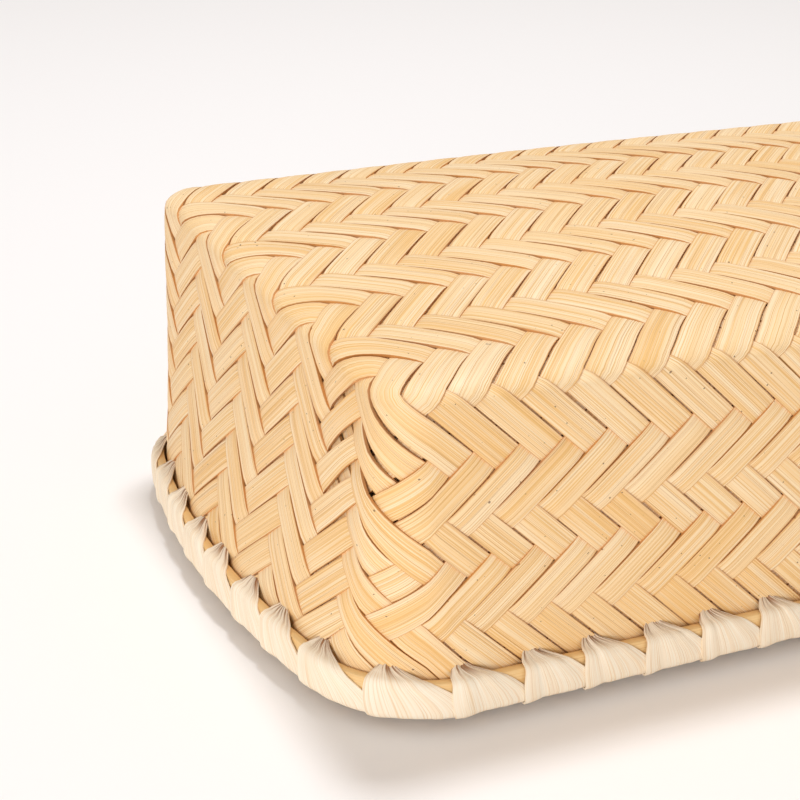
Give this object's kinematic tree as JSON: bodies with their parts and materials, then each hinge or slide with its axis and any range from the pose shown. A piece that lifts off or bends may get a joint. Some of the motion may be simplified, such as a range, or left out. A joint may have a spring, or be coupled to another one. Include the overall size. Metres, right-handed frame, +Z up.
{
  "type": "bamboo bento box",
  "caption": "Oblong lunch box woven from flat bamboo strips, with a deep lid that slips right over the body and hoop rims whipped on with bamboo lashing.",
  "frame": {"origin": "on the table under the middle of the box", "axes": "+X along the box, +Y to the back, +Z up"},
  "size_m": [0.193, 0.12, 0.068],
  "materials": {
    "woven_bamboo": "split bamboo strip, satin with fine lengthwise grain",
    "bamboo_hoop": "golden split bamboo band, satin",
    "bamboo_lashing": "pale thin bamboo ribbon, matte and fibrous"
  },
  "bodies": {
    "body": {"body_woven_shell": "woven_bamboo", "body_outer_hoop": "bamboo_hoop", "body_inner_hoop": "bamboo_hoop", "body_lashing_1": "bamboo_lashing", "body_lashing_2": "bamboo_lashing", "body_lashing_3": "bamboo_lashing", "body_lashing_4": "bamboo_lashing"},
    "lid": {"lid_woven_shell": "woven_bamboo", "lid_outer_hoop": "bamboo_hoop", "lid_inner_hoop": "bamboo_hoop", "lid_lashing_1": "bamboo_lashing", "lid_lashing_2": "bamboo_lashing", "lid_lashing_3": "bamboo_lashing", "lid_lashing_4": "bamboo_lashing"}
  },
  "joints": [
    {"name": "lid_lift", "type": "slide", "parent": "body", "child": "lid", "axis": [0, 0, 1], "range_m": [0, 0.075]}
  ]
}
